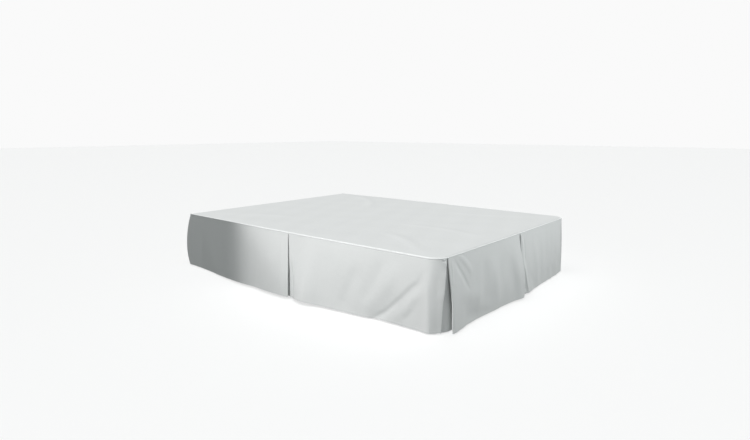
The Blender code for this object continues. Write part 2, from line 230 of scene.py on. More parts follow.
# the drops' seam on the deck, by the distance from the middle of the foot: plus is to the right
def seamPath(along):
    distance = np.abs(along)
    halfWidth, halfLength = halves(0)
    footRadius, headRadius, half = bed["footRadius"], bed["headRadius"], bed["solidCloth"] / 2
    onFoot = distance < footStraight
    onCorner = ~onFoot & (distance < cornerEnd)
    onSide = (distance >= cornerEnd) & (distance < sideEnd)
    footShare = distance / footStraight
    cornerTurn = (distance - footStraight) / footRadius
    sideShare = 2 * (distance - cornerEnd) / sideStraight - 1
    headTurn = (distance - sideEnd) / headRadius
    stretches = [onFoot, onCorner, onSide]
    outX = np.select(stretches, [0.0, np.sin(cornerTurn), 1.0], np.cos(headTurn))
    outY = np.select(stretches, [-1.0, -np.cos(cornerTurn), 0.0], np.sin(headTurn))
    cornerX = footStraight + (footRadius - half) * outX
    sideX = halfWidth - half + bed["sideBow"] * (1 - sideShare**2)
    headX = halfWidth - headRadius + (headRadius - half) * outX
    footY = half - halfLength - bed["footBow"] * (1 - footShare**2)
    cornerY = footRadius - halfLength + (footRadius - half) * outY
    sideY = footRadius - halfLength + distance - cornerEnd
    headY = halfLength - headRadius + (headRadius - half) * outY
    x = np.select(stretches, [distance, cornerX, sideX], headX)
    y = np.select(stretches, [footY, cornerY, sideY], headY)
    side = np.where(along < 0, -1.0, 1.0)
    return side * x, y, side * outX, outY


# a smooth curve through a table's rows, level past its ends
def readTable(rows, column, along):
    places, values = np.array(rows)[:, [0, column]].T
    gaps = np.diff(places)
    rises = np.diff(values) / gaps
    slopes = np.zeros(len(values))
    for inner in range(1, len(values) - 1):
        before, after = rises[inner - 1], rises[inner]
        if before * after > 0:
            slopes[inner] = 2 * before * after / (before + after)
    spot = np.clip(np.searchsorted(places, along) - 1, 0, len(gaps) - 1)
    share = np.clip((along - places[spot]) / gaps[spot], 0, 1)
    rest = 1 - share
    return (
        values[spot] * (1 + 2 * share) * rest**2
        + values[spot + 1] * (3 - 2 * share) * share**2
        + gaps[spot] * share * rest * (slopes[spot] * rest - slopes[spot + 1] * share)
    )


fold = {"runs": 6, "begins": 0.35, "ends": 0.25, "roundness": 1.5}


# a smooth bent line through a few points, as short straight runs
def bentLine(points):
    points = np.array(points, dtype=float)
    if len(points) < 3:
        return points
    ends = np.vstack([2 * points[0] - points[1], points, 2 * points[-1] - points[-2]])
    line = []
    for spot in range(len(points) - 1):
        one, two, three, four = ends[spot : spot + 4]
        for share in np.arange(fold["runs"]) / fold["runs"]:
            line.append(
                two
                + 0.5 * (three - one) * share
                + (one - 2.5 * two + 2 * three - 0.5 * four) * share**2
                + (1.5 * two - 1.5 * three + 0.5 * four - 0.5 * one) * share**3
            )
    return np.array(line + [points[-1]])


# a soft ridge along a bent line, or a trough where the height is minus, with its own width on
# either side; it grows over the first share of its line and fades over the last
def creaseRelief(crease, along, drop):
    path, leftWidth, rightWidth, height = crease
    line = bentLine(path)
    runs = np.diff(line, axis=0)
    lengths = np.hypot(runs[:, 0], runs[:, 1])
    total = lengths.sum()
    aside = reach = 0 * along
    nearest = aside + np.inf
    travelled = 0.0
    for start, run, length in zip(line[:-1], runs, lengths):
        awayAlong, awayDrop = along - start[0], drop - start[1]
        share = np.clip((awayAlong * run[0] + awayDrop * run[1]) / length**2, 0, 1)
        distance = np.hypot(awayAlong - share * run[0], awayDrop - share * run[1])
        side = np.sign(run[1] * awayAlong - run[0] * awayDrop)
        closer = distance < nearest
        nearest = np.where(closer, distance, nearest)
        aside = np.where(closer, side * distance, aside)
        reach = np.where(closer, travelled + share * length, reach)
        travelled += length
    blend = 0.5 + 0.5 * np.tanh(fold["roundness"] * aside / min(leftWidth, rightWidth))
    width = leftWidth + (rightWidth - leftWidth) * blend
    fade = smoothStep(0, fold["begins"] * total, reach) * smoothStep(0, fold["ends"] * total, total - reach)
    return height * fade * np.exp(-((aside / width) ** 2))


waves = {"seed": 11, "count": 14, "lengths": (0.07, 0.34), "slant": 0.3, "steepness": 0.0018,
         "sway": 0.9, "swayDrop": 0.42, "topShare": 0.2, "grown": 0.25}


# gentle unevenness of a hanging cloth, more of it lower down
def softWaves(along, drop):
    dice = np.random.default_rng(waves["seed"])
    total = 0 * along
    for _ in range(waves["count"]):
        wave = dice.uniform(*waves["lengths"])
        slant = dice.normal(0, waves["slant"])
        phase, sway = dice.uniform(0, 2 * math.pi, 2)
        turn = 2 * math.pi * (along + slant * drop) / wave + phase
        turn = turn + waves["sway"] * np.sin(2 * math.pi * drop / waves["swayDrop"] + sway)
        total = total + waves["steepness"] * wave * np.sin(turn)
    top = waves["topShare"]
    return total * (top + (1 - top) * smoothStep(0, waves["grown"], drop))


# the ridge of the seam, the stitches under it, and the turned hem
def bandRelief(drop):
    stitch = seam["stitchDrop"]
    band = seam["proud"] * (1 - smoothStep(stitch - seam["proudFade"], stitch, drop))
    groove = -seam["groove"] * np.exp(-(((drop - stitch) / seam["grooveWidth"]) ** 2))
    hemLine = bed["drop"] - hem["height"]
    turned = hem["proud"] * smoothStep(hemLine, hemLine + hem["proudFade"], drop)
    hemGroove = -hem["groove"] * np.exp(-(((drop - hemLine) / hem["grooveWidth"]) ** 2))
    return band + groove + turned + hemGroove


def faceOut(panel, along, drop):
    fall = drop / bed["drop"]
    hemOut = readTable(panel["flares"], 1, along)
    belly = readTable(panel["flares"], 2, along)
    folds = softWaves(along, drop)
    for crease in panel["creases"]:
        folds = folds + creaseRelief(crease, along, drop)
    folds = folds * np.minimum(fall / cloth["heldShare"], 1.0)
    for tuck in panel["tucks"]:
        folds = folds + creaseRelief(tuck, along, drop)
    return hemOut * fall ** cloth["hang"] + belly * 4 * fall * (1 - fall) + folds


# rows down a drop: close together at the seam's stitching and at the hem
def rowDrops():
    total, stitch = bed["drop"], seam["stitchDrop"]
    hemLine = total - hem["height"]
    top = np.array([seam["rollStart"], 0.0036, 0.005])
    stitched = stitch + np.array([-0.001, 0, 0.001, 0.0022, 0.004, 0.0065, 0.0095])
    body = np.linspace(0.021, hemLine - 0.007, cloth["bodyRows"])
    turned = hemLine + np.array([-0.0035, -0.0018, -0.0009, 0, 0.0009, 0.002, 0.0045, 0.0075])
    end = total - np.array([0.003, 0.0012, 0])
    return np.concatenate([top, stitched, body, turned, end])


# places along a panel, closer together near its pleats and where it is gathered
def spacedShares(first, last, fineSpots):
    probe = np.linspace(first, last, cloth["probes"])
    step = np.full(len(probe), cloth["columnStep"])
    for spot, reach in fineSpots:
        close = np.exp(-(((probe - spot) / reach) ** 2))
        step = np.minimum(step, cloth["columnStep"] + (cloth["fineStep"] - cloth["columnStep"]) * close)
    count = np.concatenate([[0], np.cumsum(np.diff(probe) / step[1:])])
    columns = int(math.ceil(count[-1]))
    places = np.interp(np.linspace(0, count[-1], columns + 1), count, probe)
    return (places - first) / (last - first)


def heightsOf(out, drops):
    rise = np.sqrt(np.maximum(np.diff(drops) ** 2 - np.diff(out, axis=1) ** 2, 1e-12))
    fallen = np.concatenate([np.zeros((len(out), 1)), np.cumsum(rise, axis=1)], axis=1)
    return bed["top"] - bed["seamBelow"] - drops[0] - fallen


# the cloth's top above its first row: rolled over where front is 1, straight where it is 0
def rolledTop(out, heights, front):
    steps = np.arange(seam["rollSteps"], 0, -1)
    turn = np.radians(seam["rollTurn"]) * steps / seam["rollSteps"]
    over = out[..., :1] + front * seam["roll"] * (np.cos(turn) - 1)
    up = front * seam["roll"] * np.sin(turn) + (1 - front) * seam["upStep"] * steps
    return np.concatenate([over, out], axis=-1), np.concatenate([heights[..., :1] + up, heights], axis=-1)


# a row's first value again for each step of the rolled top
def overRoll(values):
    return np.concatenate([np.repeat(values[..., :1], seam["rollSteps"], axis=-1), values], axis=-1)


def placed(along, out, sideways, heights):
    x, y, outX, outY = seamPath(along)
    points = np.empty(along.shape + (3,))
    points[..., 0] = bedMiddle[0] + x + outX * out - outY * sideways
    points[..., 1] = bedMiddle[1] + y + outY * out + outX * sideways
    points[..., 2] = heights
    return points


# shares of the drop at which a pleat's slit is open, starts to close and is shut, and a tuck starts
slitAt = {"open": 0.06, "closing": 0.25, "shut": 0.6, "tuck": 0.55}


# a pleat's edges part as the cloth falls, and their folds roll open
def turnRadius(pleat, fall):
    return cloth["pressed"] + (pleat["roll"] - cloth["pressed"]) * fall


def edgeAlong(pleat, side, fall):
    shift = pleat["beforeShift"] if side < 0 else pleat["afterShift"]
    slit = pleat["slit"] / 2 * smoothStep(0, slitAt["open"], fall)
    slit = slit * (1 - smoothStep(slitAt["closing"], slitAt["shut"], fall))
    clear = cloth["edgeGap"] + slit + turnRadius(pleat, fall)
    tuckIn = pleat.get("afterTuck", 0.0) * smoothStep(slitAt["tuck"], 1.0, fall) * (side > 0)
    return pleat["along"] + side * clear + shift * fall ** pleat["ease"] - tuckIn


# the folded edge and the return behind it, with the cloth's own distance past the face
def turnedEdge(panel, pleat, side, drops):
    fall = drops / bed["drop"]
    radius = turnRadius(pleat, fall)
    edge = edgeAlong(pleat, side, fall)
    edgeOut = faceOut(panel, edge, drops)
    edgeHeights = heightsOf(edgeOut[None, :], drops)[0]
    columns, distances = [], []

    def addColumn(along, out, sideways, front, distance):
        out, heights = rolledTop(out + bandRelief(drops) * front, edgeHeights, front)
        columns.append(placed(overRoll(along), out, overRoll(sideways), heights))
        distances.append(distance)

    turnWidth = cloth["turnWidth"]
    for step in range(1, cloth["turnSteps"] + 1):
        angle = math.pi * step / cloth["turnSteps"]
        out = edgeOut - radius + radius * math.cos(angle)
        front = (1 + math.cos(angle)) / 2
        addColumn(edge, out, -side * radius * math.sin(angle), front, turnWidth * step / cloth["turnSteps"])
    for step in range(1, cloth["returnSteps"] + 1):
        distance = cloth["returnWidth"] * step / cloth["returnSteps"]
        back = edge + side * distance
        addColumn(back, faceOut(panel, back, drops) - 2 * radius, 0 * fall, 0.0, turnWidth + distance)
    return np.array(columns), np.array(distances)


# a grid of points becomes a sheet with thickness; lay holds its flat distances, across and down
def layCloth(name, points, lay, finish, thick):
    columns, rows = points.shape[:2]
    bpy.ops.mesh.primitive_grid_add(x_subdivisions=rows - 1, y_subdivisions=columns - 1, size=1)
    piece = newPiece(name)
    mesh = piece.data
    mesh.vertices.foreach_set("co", points.reshape(-1))
    mesh.uv_layers[0].name = "clothLay"
    corners = np.empty(len(mesh.loops), dtype=np.int32)
    mesh.loops.foreach_get("vertex_index", corners)
    mesh.uv_layers[0].data.foreach_set("uv", lay.reshape(-1, 2)[corners].reshape(-1))
    mesh.update()
    solid = piece.modifiers.new("thickness", "SOLIDIFY")
    solid.thickness = thick
    solid.offset = 0
    bpy.ops.object.modifier_apply(modifier=solid.name)
    bpy.ops.object.shade_smooth_by_angle(angle=smooth["cloth"])
    piece.data.materials.append(finish)
    return piece


# along is the pleat's place; its edges shift by these amounts at the hem, the sooner the lower the
# ease; roll is the edges' fold radius there, and slit how far the edges stand apart near the seam
pleats = {
    "left": {"along": -1.729, "ease": 1.2, "roll": 0.0028, "slit": 0.003,
             "beforeShift": 0.066, "afterShift": 0.067},
    "footLeft": {"along": -0.696, "ease": 0.65, "roll": 0.0024, "slit": 0.0,
                 "beforeShift": -0.03, "afterShift": 0.013, "afterTuck": 0.016},
    "foot": {"along": 0.054, "ease": 4.6, "roll": 0.0038, "slit": 0.018,
             "beforeShift": -0.051, "afterShift": 0.015},
    "footRight": {"along": 0.696, "ease": 0.8, "roll": 0.0035, "slit": 0.0,
                  "beforeShift": 0.018, "afterShift": 0.03},
    "right": {"along": 1.735, "ease": 1.0, "roll": 0.005, "slit": 0.002,
              "beforeShift": -0.02, "afterShift": 0.02},
}

# the drops, from the left side's head end round the foot to the right side's head end
# in millimetres; fine: where columns stand closer, and how far that reaches
# flares: along, how far the hem stands off plumb, belly half-way down
# creases and tucks: points along and down the cloth, left width, right width, height
panels = [
    {"name": "sideDropLeftHead", "before": None, "after": "left",
     "fine": [(-1724, 30), (-2750, 40)],
     "flares": [
         (-2758, 23, 24), (-2690, 19, 24), (-2600, 24, 20), (-2463, 34, 14), (-2346, 51, 7), (-2240, 63, 4),
         (-2060, 74, 3), (-1980, 69, 3), (-1910, 72, 3), (-1820, 79, 2), (-1740, 81, 1), (-1665, 76, 0),
     ],
     "creases": [
         ([(-2610, 40), (-2580, 200), (-2560, 400)], 50, 40, -4),
         ([(-2330, 30), (-2290, 200), (-2260, 400)], 40, 50, 3),
         ([(-2050, 50), (-1990, 220), (-1965, 400)], 50, 35, -4),
         ([(-1790, 30), (-1765, 200), (-1742, 400)], 10, 10, -2),
         ([(-1870, 100), (-1840, 250), (-1830, 400)], 30, 40, 3),
     ]},
    {"name": "sideDropLeftFoot", "before": "left", "after": "footLeft",
     "fine": [(-1700, 50), (-720, 60)],
     "flares": [
         (-1655, 64, 0), (-1570, 83, 1), (-1536, 89, 2), (-1492, 80, 2), (-1450, 64, 3), (-1400, 53, 4),
         (-1345, 48, 4), (-1270, 40, 4), (-1194, 32, 4), (-1140, 25, 3), (-1060, 13, 3), (-960, 7, 3),
         (-850, 6, 2), (-781, 12, 1), (-736, 15, 0),
     ],
     "creases": [
         ([(-1690, 120), (-1680, 200), (-1670, 245), (-1661, 283), (-1653, 318), (-1645, 365),
           (-1635, 450)], 13, 14, -12),
         ([(-1690, 80), (-1668, 150), (-1654, 196), (-1640, 242), (-1625, 290), (-1610, 380)], 14, 30, 3),
         ([(-812, 30), (-819, 80), (-841, 126), (-884, 168), (-922, 208), (-972, 257), (-1015, 297),
           (-1062, 331), (-1150, 385)], 14, 26, -6),
         ([(-930, 205), (-982, 252), (-1026, 297), (-1068, 330), (-1150, 375)], 50, 18, -4),
         ([(-800, 80), (-815, 150), (-853, 200), (-893, 250), (-945, 305), (-1000, 375)], 18, 26, 1.8),
         ([(-846, 190), (-853, 216), (-862, 240), (-870, 268), (-888, 292), (-930, 335)], 16, 22, -3),
         ([(-960, 20), (-975, 60), (-1003, 140), (-1060, 215), (-1130, 310), (-1180, 380)], 40, 35, 3.8),
         ([(-1020, 0), (-1065, 100), (-1100, 165), (-1130, 215), (-1180, 300)], 36, 28, -3),
         ([(-1190, 80), (-1225, 160), (-1262, 260), (-1300, 370)], 36, 50, -6.2),
         ([(-1420, 100), (-1400, 220), (-1360, 400)], 45, 45, 2.5),
         ([(-752, 20), (-747, 200), (-742, 500)], 24, 24, -6),
         ([(-802, 40), (-790, 200), (-778, 500)], 16, 14, 3.5),
         ([(-698, 20), (-699, 100), (-704, 220)], 28, 6, 6.5),
     ],
     "tucks": [
         ([(-729, 2), (-725, 13), (-713, 18), (-703, 13), (-700, 2)], 3, 3, -2.5),
         ([(-724, 6), (-714, 10), (-704, 6)], 4, 4, 2.5),
         ([(-713, 18), (-707, 40)], 3, 4, 1.5),
     ]},
    {"name": "footDropLeft", "before": "footLeft", "after": "foot",
     "fine": [(-660, 70), (54, 30)],
     "flares": [
         (-690, 45, 0), (-642, 41, 0), (-552, 30, 1), (-471, 29, 2), (-317, 33, 2), (-221, 32, 2),
         (-144, 40, 2), (-75, 52, 1), (-10, 69, 0),
     ],
     "creases": [
         ([(-385, 20), (-365, 147), (-346, 228), (-345, 340)], 60, 50, -4),
         ([(-280, 30), (-260, 172), (-241, 238), (-235, 400)], 40, 40, 3),
         ([(-130, 60), (-93, 162), (-69, 233), (-31, 319), (-10, 380)], 60, 45, -4),
         ([(-630, 180), (-500, 225), (-370, 250)], 40, 40, 4),
         ([(-610, 295), (-480, 325), (-300, 350)], 35, 30, -5),
     ],
     "tucks": [
         ([(-662, 4), (-638, 31), (-599, 76), (-566, 117), (-537, 162), (-515, 205)], 14, 9, -2.8),
         ([(-625, 2), (-580, 26), (-535, 62), (-480, 125)], 14, 20, 2.4),
         ([(-600, 0), (-550, 22), (-500, 60)], 6, 8, -0.8),
         ([(-668, 2), (-664, 60), (-672, 150)], 5, 7, 1.6),
     ]},
    {"name": "footDropRight", "before": "foot", "after": "footRight",
     "fine": [(75, 50), (696, 30)],
     "flares": [
         (70, 41, 0), (156, 43, 1), (230, 36, 2), (310, 30, 2), (439, 27, 1), (585, 25, 0), (690, 15, -2),
     ],
     "creases": [
         ([(52, 200), (66, 280), (76, 345)], 12, 12, -7),
         ([(75, 140), (90, 270), (116, 400)], 10, 20, 8),
         ([(150, 220), (190, 320), (215, 400)], 30, 30, -3),
         ([(245, 40), (262, 200), (280, 400)], 35, 35, 2),
         ([(335, 30), (325, 200), (310, 400)], 35, 30, -2),
         ([(420, 260), (432, 400)], 25, 25, -2.5),
         ([(465, 80), (470, 250), (480, 400)], 35, 35, 1.5),
         ([(505, 250), (522, 400)], 25, 25, -2.5),
         ([(600, 200), (618, 400)], 25, 25, -2),
     ],
     "tucks": [
         ([(68, 1), (78, 50), (80, 120), (70, 200)], 6, 10, 3),
         ([(98, 20), (108, 90), (102, 180)], 8, 8, -1.8),
     ]},
    {"name": "sideDropRightFoot", "before": "footRight", "after": "right",
     "fine": [(700, 40), (1735, 30)],
     "flares": [
         (726, 16, 2.5), (812, 30, 4.5), (905, 30, 6.5), (1200, 38, 4), (1500, 56, 4), (1715, 64, 2),
     ],
     "creases": [
         ([(930, 50), (1010, 200), (1060, 400)], 40, 60, -6),
         ([(1150, 40), (1130, 220), (1150, 400)], 50, 40, 5),
         ([(1300, 60), (1240, 240), (1200, 400)], 40, 30, -5),
         ([(1470, 50), (1440, 200), (1430, 400)], 50, 50, 4),
         ([(1600, 80), (1620, 240), (1610, 400)], 40, 40, -4),
     ]},
    {"name": "sideDropRightHead", "before": "right", "after": None,
     "fine": [(1735, 30), (2750, 40)],
     "flares": [
         (1755, 64, 2), (2050, 56, 4), (2400, 44, 10), (2758, 20, 20),
     ],
     "creases": [
         ([(1860, 60), (1880, 220), (1900, 400)], 50, 50, 4),
         ([(2010, 50), (2040, 200), (2080, 400)], 40, 60, -6),
         ([(2240, 50), (2220, 220), (2240, 400)], 60, 45, 4),
         ([(2420, 60), (2380, 240), (2370, 400)], 50, 40, -5),
         ([(2600, 40), (2580, 220), (2560, 400)], 50, 50, 4),
     ]},
]

for panel in panels:
    for key in ("fine", "flares", "creases", "tucks"):
        panel[key] = metres(panel.get(key, []))

drops = rowDrops()
rollArc = seam["roll"] * math.radians(seam["rollTurn"])
rolled = drops[0] - rollArc * np.arange(seam["rollSteps"], 0, -1) / seam["rollSteps"]
layDrops = np.concatenate([rolled, drops])
headEnd = sideEnd + bed["headWrap"]
stitchRows, hung = [], []


def hangPanel(panel):
    fall = drops / bed["drop"]
    before, after = pleats.get(panel["before"]), pleats.get(panel["after"])
    first = edgeAlong(before, 1, fall) if before else np.full(len(fall), -headEnd)
    last = edgeAlong(after, -1, fall) if after else np.full(len(fall), headEnd)
    shares = spacedShares(first[0], last[0], panel["fine"])
    along = first + (last - first) * shares[:, None]
    drop = np.broadcast_to(drops, along.shape)
    out = faceOut(panel, along, drop)
    out, heights = rolledTop(out + bandRelief(drop), heightsOf(out, drops), 1.0)
    face = placed(overRoll(along), out, 0.0, heights)
    across = first[0] + (last[0] - first[0]) * shares
    strips, widths = [face], [across]
    if before:
        edge, distance = turnedEdge(panel, before, 1, drops)
        strips.insert(0, edge[::-1])
        widths.insert(0, (across[0] - distance)[::-1])
    if after:
        edge, distance = turnedEdge(panel, after, -1, drops)
        strips.append(edge)
        widths.append(across[-1] + distance)
    across = np.concatenate(widths)
    lay = np.stack(np.broadcast_arrays(across[:, None], layDrops), axis=-1)
    piece = layCloth(panel["name"], np.concatenate(strips), lay, dropFinish, cloth["thick"])
    for line in (seam["stitchDrop"], bed["drop"] - hem["height"]):
        stitchRows.append(face[:, seam["rollSteps"] + int(np.argmin(np.abs(drops - line)))])
    return piece, (float(across[-1] - across[0]), bed["drop"])


for panel in panels:
    piece, flat = hangPanel(panel)
    hung.append((piece, flat))
    print("hung", panel["name"], len(piece.data.polygons), "faces")


# the pieces behind the pleats; hem distances off plumb at either end, and a soft ridge between
backs = [
    {"name": "pleatBackLeft", "pleat": "left", "hem": (0.048, 0.034)},
    {"name": "pleatBackFootLeft", "pleat": "footLeft", "hem": (-0.01, 0.01), "hang": 3.0,
     "ridge": 0.003, "ridgeAside": 0.016},
    {"name": "pleatBackFoot", "pleat": "foot", "hem": (0.048, 0.007)},
    {"name": "pleatBackFootRight", "pleat": "footRight", "hem": (-0.001, -0.004), "ridge": 0.004},
    {"name": "pleatBackRight", "pleat": "right", "hem": (0.04, 0.04)},
]
backSize = {"halfWidth": 0.07, "columns": 36, "behindSeam": 0.0074, "ridgeWidth": 0.026}


def hangBack(back):
    pleat = pleats[back["pleat"]]
    fall = drops / bed["drop"]
    shares = np.linspace(0, 1, backSize["columns"] + 1)
    aside = ((2 * shares - 1) * backSize["halfWidth"])[:, None]
    shift = (pleat["beforeShift"] + pleat["afterShift"]) / 2
    along = pleat["along"] + aside + shift * fall ** pleat["ease"]
    hemBefore, hemAfter = back["hem"]
    hemOut = hemBefore + (hemAfter - hemBefore) * shares[:, None]
    ridge = np.exp(-(((aside - back.get("ridgeAside", 0.0)) / backSize["ridgeWidth"]) ** 2))
    hemOut = hemOut + back.get("ridge", 0.0) * ridge
    behind, hang = backSize["behindSeam"], back.get("hang", cloth["hang"])
    out = -behind + (hemOut + behind) * fall**hang
    points = placed(along, out, 0.0, heightsOf(out, drops))
    lay = np.stack(np.broadcast_arrays(pleat["along"] + aside, drops), axis=-1)
    return layCloth(back["name"], points, lay, dropFinish, cloth["thick"])


# the solid that a cloth stands in for has the same name in small letters
def solidName(name):
    return "".join("_" + letter.lower() if letter.isupper() else letter for letter in name)


for back in backs:
    hung.append((hangBack(back), (2 * backSize["halfWidth"], bed["drop"])))
for piece, flat in hung:
    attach(piece, "root")
    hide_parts(solidName(piece.name))
print("pleat backs hung")


# the deck between box spring and mattress: flat, a little rumpled, its edge turned down into the seam
# creases, in millimetres: points across and along the bed, left width, right width, height
deck = {
    "flat": (1.54, 2.04), "thick": 0.0009, "inset": 0.006, "spacing": 0.014, "below": 0.0003,
    "edgeDip": 0.003, "dipWidth": 0.006, "rumple": 0.00035, "calmEdge": (0.01, 0.08),
    "ripples": [(23, 9, 0), (-12, 31, 2)],  # turns per length across and along, and the start
    "creases": [
        ([(-720, -900), (-520, -660), (-400, -400)], 30, 30, 1.6),
        ([(700, -920), (500, -620), (420, -300)], 35, 25, 1.4),
        ([(-700, 960), (-460, 600), (-360, 300)], 30, 40, 1.4),
        ([(720, 900), (560, 520), (200, 220)], 30, 30, 1.6),
        ([(-600, -100), (-100, 40), (340, -40)], 40, 40, 1.2),
        ([(-200, -980), (-120, -620), (-160, -280)], 30, 30, 1.2),
    ],
}


# distances from an edge, close together there and even further in
def edgeSpaces(length, spacing):
    close = [0, 0.0004, 0.0012, 0.0024, 0.004, 0.006, 0.0085, 0.012, 0.0175]
    count = int((length - 2 * close[-1]) / spacing)
    middle = np.linspace(close[-1], length - close[-1], count)
    return np.concatenate([close[:-1], middle, length - np.array(close[-2::-1])])


def layDeck():
    halfX, halfY = halves(deck["inset"])
    y = (edgeSpaces(2 * halfY, deck["spacing"]) - halfY)[:, None]
    radius = np.where(y < 0, bed["footRadius"], bed["headRadius"]) - deck["inset"]
    intoCorner = np.clip(np.abs(y) - halfY + radius, 0, radius)
    half = halfX - radius + np.sqrt(radius**2 - intoCorner**2)
    x = half * (edgeSpaces(2 * halfX, deck["spacing"]) / halfX - 1)[None, :]
    y = np.broadcast_to(y, x.shape)
    cornerX = np.maximum(np.abs(x) - halfX + radius, 0)
    cornerY = np.maximum(np.abs(y) - halfY + radius, 0)
    straight = np.minimum(halfX - np.abs(x), halfY - np.abs(y))
    inCorner = (cornerX > 0) & (cornerY > 0)
    inward = np.where(inCorner, radius - np.hypot(cornerX, cornerY), straight)
    raised = 0 * x
    for crease in metres(deck["creases"]):
        raised = raised + creaseRelief(crease, x, y)
    for across, along, start in deck["ripples"]:
        raised = raised + deck["rumple"] * (np.sin(across * x + along * y + start) + 1)
    raised = raised * smoothStep(*deck["calmEdge"], inward)
    dip = deck["edgeDip"] * (1 - smoothStep(0, deck["dipWidth"], inward))
    sideBow = bed["sideBow"] * (1 - np.clip(y / halfY, -1, 1) ** 2) * x / halfX
    footBow = bed["footBow"] * (1 - np.clip(x / halfX, -1, 1) ** 2) * np.clip(-y / halfY, 0, 1) ** 2
    height = bed["top"] - deck["thick"] / 2 - deck["below"] + raised - dip
    points = np.stack([bedMiddle[0] + x + sideBow, bedMiddle[1] + y - footBow, height], axis=-1)
    lay = np.stack([x, y], axis=-1)
    return points.transpose(1, 0, 2)[::-1], lay.transpose(1, 0, 2)[::-1]


points, lay = layDeck()
deckPiece = layCloth("deckCloth", points, lay, deckFinish, deck["thick"])
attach(deckPiece, "root")
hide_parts("deck")
print("deck laid", len(deckPiece.data.polygons), "faces")


# one stitch of sewing thread, copied along the seam's and the hem's stitch lines
stitch = {"pitch": 0.0032, "length": 0.0024, "width": 0.00055, "height": 0.00035, "proud": 0.0001,
          "ahead": 0.001}
thread = Finish("whiteThread", {"Base Color": (0.76, 0.77, 0.77, 1), "Sheen Weight": 0.1})
threadTwist = thread.noise(thread.objectPlace(), 2600.0, 1.0)
thread.bump(threadTwist * 0.00006)
thread.feed("Roughness", 0.5 + 0.2 * threadTwist)


def sewStitches(name, rows):
    bpy.ops.mesh.primitive_uv_sphere_add(segments=6, ring_count=4, radius=0.5)
    piece = newPiece(name)
    sphere = piece.data
    corners = np.array([vertex.co for vertex in sphere.vertices])
    corners = corners[:, [2, 0, 1]] * (stitch["length"], stitch["width"], stitch["height"])
    faces = [list(face.vertices) for face in sphere.polygons]
    spots, turns = [], []
    for row in rows:
        runs = np.linalg.norm(np.diff(row, axis=0), axis=1)
        reach = np.concatenate([[0], np.cumsum(runs)])
        count = int(reach[-1] / stitch["pitch"])
        middles = (np.arange(count) + 0.5) * reach[-1] / count
        place, ahead = [
            np.stack([np.interp(spot, reach, row[:, axis]) for axis in range(3)], axis=1)
            for spot in (middles, middles + stitch["ahead"])
        ]
        forward = ahead - place
        forward[-1] = forward[-2]
        forward /= np.linalg.norm(forward, axis=1, keepdims=True)
        outward = np.stack([forward[:, 1], -forward[:, 0], np.zeros(count)], axis=1)
        outward /= np.linalg.norm(outward, axis=1, keepdims=True)
        up = np.cross(outward, forward)
        spots.append(place + outward * (cloth["thick"] / 2 + stitch["proud"]))
        turns.append(np.stack([forward, up, outward], axis=1))
    spots, turns = np.concatenate(spots), np.concatenate(turns)
    points = spots[:, None, :] + np.einsum("vk,skc->svc", corners, turns)
    offsets = np.arange(len(spots)) * len(corners)
    copies = [[index + offset for index in face] for offset in offsets.tolist() for face in faces]
    mesh = bpy.data.meshes.new(name)
    mesh.from_pydata(points.reshape(-1, 3), [], copies)
    mesh.materials.append(thread.material)
    piece.data = mesh
    bpy.ops.object.shade_smooth()
    return piece


for name, rows in (("seamStitches", stitchRows[0::2]), ("hemStitches", stitchRows[1::2])):
    piece = sewStitches(name, rows)
    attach(piece, "root")
    print("sewn", name, len(piece.data.polygons), "faces")


# the box spring's cover: a drawn-in top and bottom, crowned sides, and a welt round both edges
box = {
    "low": boxLow.z + 0.0002, "high": boxHigh.z - 0.0002, "inset": 0.0165,
    "corners": [(-1, 0.0635, 10), (1, 0.0285, 8)],  # side, radius and steps; the welt has a few more
    "weltMore": 2,
    "rim": 0.01, "rimSteps": 4, "bandRows": 7, "crown": 0.0015,
    "weltInset": 0.0175, "weltRadius": 0.0035, "weltRoundness": 3, "weltFromEdge": 0.012,
    "pale": (0.74, 0.725, 0.69, 1), "dark": (0.65, 0.635, 0.6, 1), "twillPitch": 0.0021,
}
ticking = Finish("boxSpringTicking", {"Sheen Weight": 0.15, "Specular IOR Level": 0.3})
tickingPlace = ticking.objectPlace()
alongX, alongY, alongZ = [ticking.part(tickingPlace, axis) for axis in range(3)]
twill = ((alongX + alongY + alongZ * 1.25) * (2 * math.pi / box["twillPitch"])).sine()
yarn = ticking.noise(ticking.stretched(tickingPlace, (260, 260, 900)), 1.0, 2.0)
soiling = ticking.noise(tickingPlace, 4.0, 4.0, 0.6)
ticking.bump(twill * 0.00012 + yarn * 0.0002 + soiling * 0.001)
twillShade = 0.35 + 0.2 * twill + 0.3 * soiling + 0.15 * yarn
ticking.feed("Base Color", ticking.blend(twillShade, box["pale"], box["dark"]))
ticking.feed("Roughness", 0.78 + 0.14 * yarn)


# picks the edges of a mesh in edit mode that pass a test on their middle and direction
def pickEdges(piece, test):
    bpy.ops.mesh.select_mode(type="EDGE")
    bpy.ops.mesh.select_all(action="DESELECT")
    setMode("OBJECT")
    mesh = piece.data
    for edge in mesh.edges:
        first, second = (mesh.vertices[index].co for index in edge.vertices)
        edge.select = bool(test((first + second) / 2, second - first))
    setMode("EDIT")


def upright(run):
    return abs(run.z) > run.length - tiny


def level(run):
    return abs(run.z) < tiny


